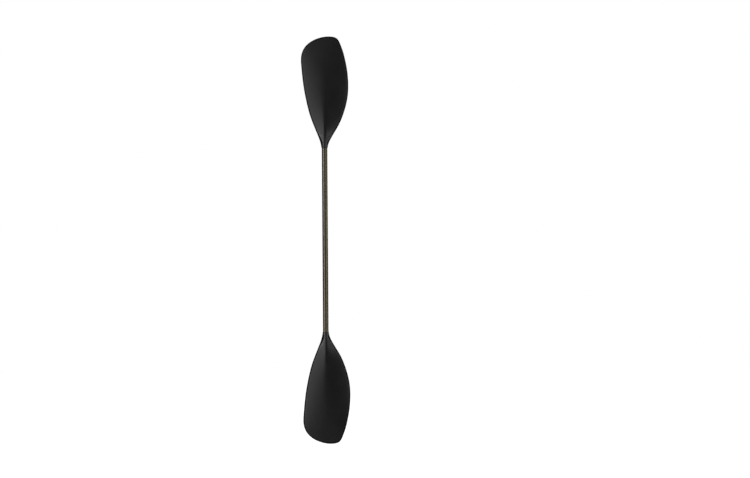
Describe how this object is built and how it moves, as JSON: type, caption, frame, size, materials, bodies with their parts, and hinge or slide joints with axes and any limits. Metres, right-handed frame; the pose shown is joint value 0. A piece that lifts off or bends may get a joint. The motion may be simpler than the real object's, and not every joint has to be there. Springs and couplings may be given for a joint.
{
  "type": "kayak paddle",
  "caption": "Double-bladed kayak paddle in two halves: asymmetric spooned foam-core blades on a straight round shaft, joined by a stepless key-locked ferrule.",
  "frame": {"origin": "on the shaft's axis at the seam between the two halves, midway between the tips", "axes": "+Z along the shaft towards the upper blade; +Y the way both power faces look; +X towards the fuller edge of each blade"},
  "size_m": [0.2316, 0.0373, 2],
  "materials": {
    "shaft_weave": "satin",
    "blade_skin": "satin",
    "edge": "satin",
    "foam": "matte",
    "ferrule": "satin",
    "sleeve": "satin",
    "seal": "matte",
    "steel": "satin",
    "brass": "satin",
    "aluminium": "satin",
    "bush": "matte"
  },
  "bodies": {
    "lower_half": {"lower_shaft_tube": "shaft_weave", "lower_tube_plug": "foam", "lower_power_skin": "blade_skin", "lower_back_skin": "blade_skin", "lower_foam_core": "foam", "lower_edge_rim": "edge", "ferrule_body": "ferrule", "screw_bush": "brass", "rod_guide": "bush", "return_spring": "steel"},
    "lock_screw": {"lock_screw": "steel"},
    "wedge": {"wedge_nut": "brass"},
    "push_rod": {"push_rod": "aluminium", "expander_cone": "bush", "cone_nut": "steel"},
    "seam_ring": {"seam_ring": "seal"},
    "upper_half": {"upper_shaft_tube": "shaft_weave", "upper_tube_plug": "foam", "upper_power_skin": "blade_skin", "upper_back_skin": "blade_skin", "upper_foam_core": "foam", "upper_edge_rim": "edge", "ferrule_sleeve": "sleeve"}
  },
  "joints": [
    {"name": "feather", "type": "hinge", "parent": "lower_half", "child": "seam_ring", "pos_m": [0, 0, 0], "axis": [0, 0, 1], "range_deg": [-90, 90]},
    {"name": "pull_apart", "type": "slide", "parent": "seam_ring", "child": "upper_half", "axis": [0, 0, 1], "range_m": [0, 0.13]},
    {"name": "wedge_travel", "type": "slide", "parent": "lower_half", "child": "wedge", "axis": [1, 0, 0], "range_m": [0, 0.0025]},
    {"name": "lock_turn", "type": "hinge", "parent": "lower_half", "child": "lock_screw", "pos_m": [0, 0, -0.032], "axis": [1, 0, 0], "range_deg": [0, 720]},
    {"name": "rod_lift", "type": "slide", "parent": "lower_half", "child": "push_rod", "axis": [0, 0, 1], "range_m": [0, 0.00151], "deforming": ["return_spring"]}
  ],
  "couplings": [
    {"joint": "lock_turn", "follows": "wedge_travel", "rad_per_m": 5026.5},
    {"joint": "rod_lift", "follows": "wedge_travel", "ratio": 0.6}
  ]
}
